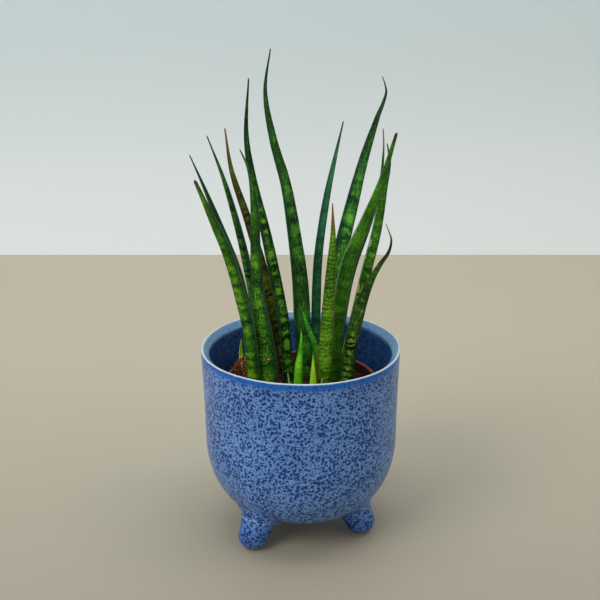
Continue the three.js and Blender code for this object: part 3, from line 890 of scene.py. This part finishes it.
def build_nursery_pot(look):
    """A thin tapered pot with a rolled lip and drilled holes in its floor."""
    base = LIP_RADIUS - TAPER
    top = LIP_RADIUS - LIP_WIDTH
    foot = NURSERY_TOP - LIP_HEIGHT

    def outer(height):
        return base + (top - base) * (height - NURSERY_BASE) / (NURSERY_TOP - NURSERY_BASE)

    profile = [(8, NURSERY_BASE + 0.5), (base - 6, NURSERY_BASE + 0.5), (base - 5, NURSERY_BASE)]
    profile += arc((base - 1, NURSERY_BASE + 1), 1.0, -90, 0)
    profile += [(outer(h), h) for h in np.linspace(NURSERY_BASE + 12, foot - 0.4, 6)]
    profile += [(LIP_RADIUS - 0.7, foot - 0.1)]
    profile += arc((LIP_RADIUS - 0.5, foot + 0.5), 0.5, -60, 0)
    profile += arc((LIP_RADIUS - 0.6, NURSERY_TOP - 0.6), 0.6, 0, 90)
    profile += arc((top - NURSERY_WALL + 0.5, NURSERY_TOP - 0.5), 0.5, 90, 180)
    profile += [(outer(h) - NURSERY_WALL, h) for h in np.linspace(NURSERY_TOP - 3, NURSERY_BASE + 3, 6)]
    profile += [(base - 3, NURSERY_BASE + 1.4), (8, NURSERY_BASE + 1.7)]
    vertices = []
    for radius, height in profile:
        for t in turns(NURSERY_AROUND):
            # The thin wall is a little wavy.
            wavy = radius * (1 + 0.0016 * math.sin(5 * t + height / 30))
            vertices.append((wavy * math.cos(t) * MM, wavy * math.sin(t) * MM, height * MM))
    faces = stacked_rings(len(profile), NURSERY_AROUND)
    made = make_object("nursery_pot_shell", vertices, faces, look)
    drills = []
    distance = (base - DRAIN_INSET) * MM
    wide = DRAIN_RADIUS * MM
    for t in turns(DRAIN_HOLES):
        centre = Vector((distance * math.cos(t), distance * math.sin(t), NURSERY_BASE * MM))
        rings = [
            centre + Vector((wide * math.cos(u), wide * math.sin(u), height * MM))
            for height in (DRILL_FROM, DRILL_TO)
            for u in turns(DRILL_SIDES)
        ]
        drill = make_object("drill", rings, stacked_rings(2, DRILL_SIDES))
        drills.append(drill)
        cut = made.modifiers.new("drain", "BOOLEAN")
        cut.operation = "DIFFERENCE"
        cut.object = drill
    graph = bpy.context.evaluated_depsgraph_get()
    made.data = bpy.data.meshes.new_from_object(made.evaluated_get(graph))
    made.modifiers.clear()
    for drill in drills:
        bpy.data.objects.remove(drill)
    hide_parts("nursery_pot")
    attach(made, "root")


build_nursery_pot(plastic_look())


# ---- Potting mix ----

# In millimetres. All but the radius and the lumps repeat the CAD's sizes.
MIX_TOP = NURSERY_TOP - 3.5
MIX_TILT = 3.0
MOUND_HEIGHT, MOUND_RADIUS, MOUND_ANGLE = 5.0, 16.0, math.radians(152)
MIX_RADIUS = 48.6
MIX_RINGS, MIX_AROUND = 64, 180
LUMPS = [(1.6, 7, 3), (0.9, 2.6, 8), (0.5, 1.1, 5)]  # (height, width, level of the noise)
SUNK = 0.6  # lowers the mix, so that its lumps lie about the CAD's surface


def mix_height(x, y):
    """Height of the mix in millimetres: tilted, heaped at one place, and lumpy."""
    distance = MIX_RADIUS - MOUND_RADIUS / 2
    dx = x - distance * math.cos(MOUND_ANGLE)
    dy = y - distance * math.sin(MOUND_ANGLE)
    heap = max(0.0, 1 - (dx * dx + dy * dy) / MOUND_RADIUS**2)
    lumps = sum(h * noise.noise(Vector((x / wide, y / wide, level))) for h, wide, level in LUMPS)
    return MIX_TOP - MIX_TILT * x / MIX_RADIUS + MOUND_HEIGHT * heap + lumps - SUNK


def mix_look():
    look = Look("fibrous_potting_mix", specular=0.2)
    place = look.place()
    wide = look.noise(place, 0.2, 3.0, 0.6)
    fine = look.noise(place, 1.1, 4.0, 0.7)
    level = look.add(look.times(wide, 0.6), look.times(fine, 0.6), -0.1)
    tone = look.ramp(level, [(0.2, "0c0603"), (0.5, "22100a"), (0.8, "4a2818")])
    look.base(tone)
    look.rough(look.add(0.8, look.times(fine, 0.15)))
    look.bump(fine, 0.8, 0.9)
    return look


def build_mix(look):
    """The bed of mix: its lumpy top from the middle out, then its side down to the base."""
    vertices = []
    for i in range(1, MIX_RINGS + 1):
        radius = MIX_RADIUS * (i / MIX_RINGS) ** 0.85
        for t in turns(MIX_AROUND):
            x, y = radius * math.cos(t), radius * math.sin(t)
            drop = 1.2 * max(0.0, (radius - MIX_RADIUS + 3) / 3) ** 2
            vertices.append((x * MM, y * MM, (mix_height(x, y) - drop) * MM))
    side = [MIX_RADIUS * MM, (MIX_TOP - 8) * MM]
    base = [(LIP_RADIUS - TAPER - NURSERY_WALL - 1.5) * MM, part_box("potting_mix")[0][2] + 0.3 * MM]
    side_shares = (0.25, 0.75, 1.0)
    for share in side_shares:
        radius, height = (a + (b - a) * share for a, b in zip(side, base))
        vertices += ring_points((0, 0), radius, height, MIX_AROUND)
    faces = [f[::-1] for f in stacked_rings(MIX_RINGS + len(side_shares), MIX_AROUND)]
    made = make_object("potting_mix_bed", vertices, faces, look)
    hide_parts("potting_mix")
    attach(made, "root")


build_mix(mix_look())


def strand(points, radius, sides=5):
    """Vertices and faces of a thin round fibre along points."""
    points = np.asarray(points, float)
    along = unit(np.gradient(points, axis=0))
    side = unit(np.cross(along, [0.13, 0.31, 0.94]))
    up = np.cross(along, side)
    vertices = []
    for i, point in enumerate(points):
        thin = radius * (1 - 0.75 * (i / (len(points) - 1)) ** 2)
        for t in turns(sides):
            vertices.append(point + thin * (math.cos(t) * side[i] + math.sin(t) * up[i]))
    return vertices, stacked_rings(len(points), sides)


def gather(parts):
    """One list of vertices and one of faces from many."""
    vertices, faces = [], []
    for some_vertices, some_faces in parts:
        first = len(vertices)
        vertices += [tuple(v) for v in some_vertices]
        faces += [tuple(first + i for i in f) for f in some_faces]
    return vertices, faces


def spot_on_mix(limit):
    """A random place on the mix, at most limit millimetres from the middle."""
    radius = limit * math.sqrt(draw.random())
    angle = 2 * math.pi * draw.random()
    return radius * math.cos(angle), radius * math.sin(angle)


FIBRE_STEPS = 8


def fibre(x, y, length, thickness, lift):
    """A wandering fibre that starts at x, y and arches off the mix by lift. In millimetres."""
    heading = 2 * math.pi * draw.random()
    bend = draw.normal(0, 0.5)
    points = []
    for i in range(FIBRE_STEPS + 1):
        share = i / FIBRE_STEPS
        height = mix_height(x, y) + thickness * 0.4 + lift * math.sin(math.pi * share)
        points.append((x * MM, y * MM, height * MM))
        heading += bend / 2 + draw.normal(0, 0.25)
        x += math.cos(heading) * length / FIBRE_STEPS
        y += math.sin(heading) * length / FIBRE_STEPS
        # A fibre that reaches the wall turns aside along it.
        away = math.hypot(x, y)
        if away > MIX_RADIUS - 1:
            x *= (MIX_RADIUS - 1) / away
            y *= (MIX_RADIUS - 1) / away
            heading += 0.9
    return strand(points, thickness / 2 * MM)


def strand_look(name, dark, pale):
    look = Look(name, specular=0.25)
    place = look.place()
    patchy = look.noise(place, 0.5, 2.0)
    fine = look.noise(place, 3.0, 2.0)
    look.base(look.mix(look.step(patchy, 0.3, 0.7), colour(dark), colour(pale)))
    look.rough(look.add(0.7, look.times(fine, 0.2)))
    look.bump(fine, 0.1, 0.6)
    return look


FIBRE_LIMIT, CRUMB_LIMIT = 46, 45


def scatter(count, spread, length, thickness, lift):
    """Fibres laid all over the mix, or on its heap where spread is above nought.

    Lengths are in millimetres, and the last three are each a (least, most).
    """
    heap_x = (MIX_RADIUS - 8) * math.cos(MOUND_ANGLE)
    heap_y = (MIX_RADIUS - 8) * math.sin(MOUND_ANGLE)
    parts = []
    for _ in range(count):
        if spread:
            spot = heap_x + draw.normal(0, spread), heap_y + draw.normal(0, spread)
        else:
            spot = spot_on_mix(FIBRE_LIMIT)
        sizes = [draw.uniform(*span) for span in (length, thickness, lift)]
        parts.append(fibre(*spot, *sizes))
    return parts


def build_litter():
    """Loose fibres, bark and grit on the mix."""
    for name, parts, look in (
        # Painted shade: the loose red-brown fibres are darkened, as under the leaf bases.
        ("mix_fibres", scatter(520, 0, (4, 13), (0.25, 0.6), (0.2, 1.8)),
         ("shaded_red_brown_fibre", "2a140b", "6b3a22")),
        ("mix_pale_fibres", scatter(60, 0, (4, 9), (0.2, 0.4), (0.3, 2.0)),
         ("pale_fibre", "8a6a3c", "c8b07c")),
        ("mound_fibres", scatter(420, 5.5, (4, 11), (0.3, 0.7), (0.6, 5.0)),
         ("russet_fibre", "48220f", "9c5a30")),
        ("mound_pale_fibres", scatter(70, 5.0, (4, 9), (0.25, 0.5), (1.0, 6.0)),
         ("straw_fibre", "a07c48", "dcc48e")),
    ):
        made = make_object(name, *gather(parts), strand_look(*look))
        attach(made, "root")
    crumbs = bmesh.new()
    for kind, count, sizes, look in (
        ("bark", 150, (0.7, 2.2), strand_look("bark_chips", "1c0f0a", "4a2a1a")),
        ("grit", 34, (0.5, 1.2), strand_look("pale_grit", "b5ab98", "e2dccb")),
    ):
        crumbs.clear()
        for _ in range(count):
            x, y = spot_on_mix(CRUMB_LIMIT)
            size = draw.uniform(*sizes)
            before = set(crumbs.verts)
            bmesh.ops.create_icosphere(crumbs, subdivisions=2, radius=1.0)
            offset = Vector((draw.random() * 50, draw.random() * 50, 0))
            turn = Vector(draw.normal(0, 1, 3)).to_track_quat("Z", "Y")
            narrow = draw.uniform(0.6, 1)
            thin = draw.uniform(0.3, 0.6) if kind == "bark" else 0.8
            shape = Vector((1, narrow, thin))
            centre = Vector((x, y, mix_height(x, y) + size * 0.25))
            for v in set(crumbs.verts) - before:
                lump = 1 + 0.35 * noise.noise(v.co * 1.7 + offset)
                v.co = (turn @ Vector(v.co * lump * shape) * size + centre) * MM
        mesh = bpy.data.meshes.new("mix_" + kind)
        crumbs.to_mesh(mesh)
        mesh.polygons.foreach_set("use_smooth", [kind == "grit"] * len(mesh.polygons))
        made = new_object("mix_" + kind, mesh)
        mesh.materials.append(look.material)
        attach(made, "root")
    crumbs.free()


build_litter()


# ---- Floor, backdrop, light and camera ----

def floor_look():
    look = Look("pale_floor", specular=0.3)
    place = look.place()
    _, y, z = look.split(place)
    fine = look.noise(place, 0.02, 3.0)
    # Painted light: the floor is lighter towards the back.
    depth = look.step(look.add(y, look.times(fine, 60.0)), -400.0, 500.0)
    ground = look.mix(depth, colour("8d8879"), colour("b6ad99"))
    # Painted light: the wall is lighter at its foot and darker higher up.
    wall = look.mix(look.step(z, 0.0, 300.0), colour("eef6fb"), colour("ccdbdf"))
    look.base(look.mix(look.step(z, 0.1, 0.6), ground, wall))
    look.rough(look.add(0.55, look.times(fine, 0.1)))
    look.bump(fine, 0.05, 0.2)
    return look


# In metres.
FLOOR_FRONT, FLOOR_BACK = -3.0, 0.62
FLOOR_SIDES = (-4.0, 4.0)
WALL_TOP = 1.6


def build_stage(look):
    """A floor, and a plain wall that stands on its back edge."""
    rows = [(FLOOR_FRONT, 0.0), (FLOOR_BACK, 0.0), (FLOOR_BACK, WALL_TOP)]
    vertices = [(x, y, z) for y, z in rows for x in FLOOR_SIDES]
    faces = [(0, 1, 3, 2), (2, 3, 5, 4)]
    make_object("floor_and_wall", vertices, faces, look, smooth=False)


build_stage(floor_look())

world = bpy.data.worlds.new("soft_room")
bpy.context.scene.world = world
world.use_nodes = True
background = world.node_tree.nodes["Background"]
background.inputs["Color"].default_value = (0.90, 0.93, 0.97, 1)
background.inputs["Strength"].default_value = 0.45


def area_light(name, place, size, power, tint, target=(0, 0, 0.12)):
    """A lamp turned towards target. Lengths are in metres and power is in watts."""
    data = bpy.data.lights.new(name, "AREA")
    data.shape = "RECTANGLE"
    data.size, data.size_y = size
    data.energy = power
    data.color = tint
    made = new_object(name, data)
    made.location = place
    made.rotation_euler = (Vector(target) - Vector(place)).to_track_quat("-Z", "Y").to_euler()


area_light("key", (-0.9, -0.9, 1.2), (0.8, 0.8), 12.5, (1.0, 0.98, 0.95))
area_light("fill", (1.3, -0.9, 0.9), (1.0, 1.0), 2.6, (1.0, 0.74, 0.46))
area_light("top", (0.1, 0.1, 1.5), (1.2, 1.2), 7, (1.0, 1.0, 1.0))
area_light("wall_wash", (0.0, -0.1, 1.4), (2.6, 0.3), 6, (0.97, 0.99, 1.0), (0, 0.62, 0.1))

# Placed so that the pot and the leaves lie where the photo has them.
CAMERA_PLACE = (-0.8 * MM, -788.8 * MM, 449.6 * MM)
CAMERA_TARGET = (-0.8 * MM, 0, 166.4 * MM)

camera_data = bpy.data.cameras.new("camera")
camera_data.lens = 75
camera_data.sensor_width = 36
camera_data.clip_end = 20
camera = new_object("camera", camera_data)
camera.location = CAMERA_PLACE
aim = Vector(CAMERA_TARGET) - camera.location
camera.rotation_euler = aim.to_track_quat("-Z", "Y").to_euler()
bpy.context.scene.camera = camera
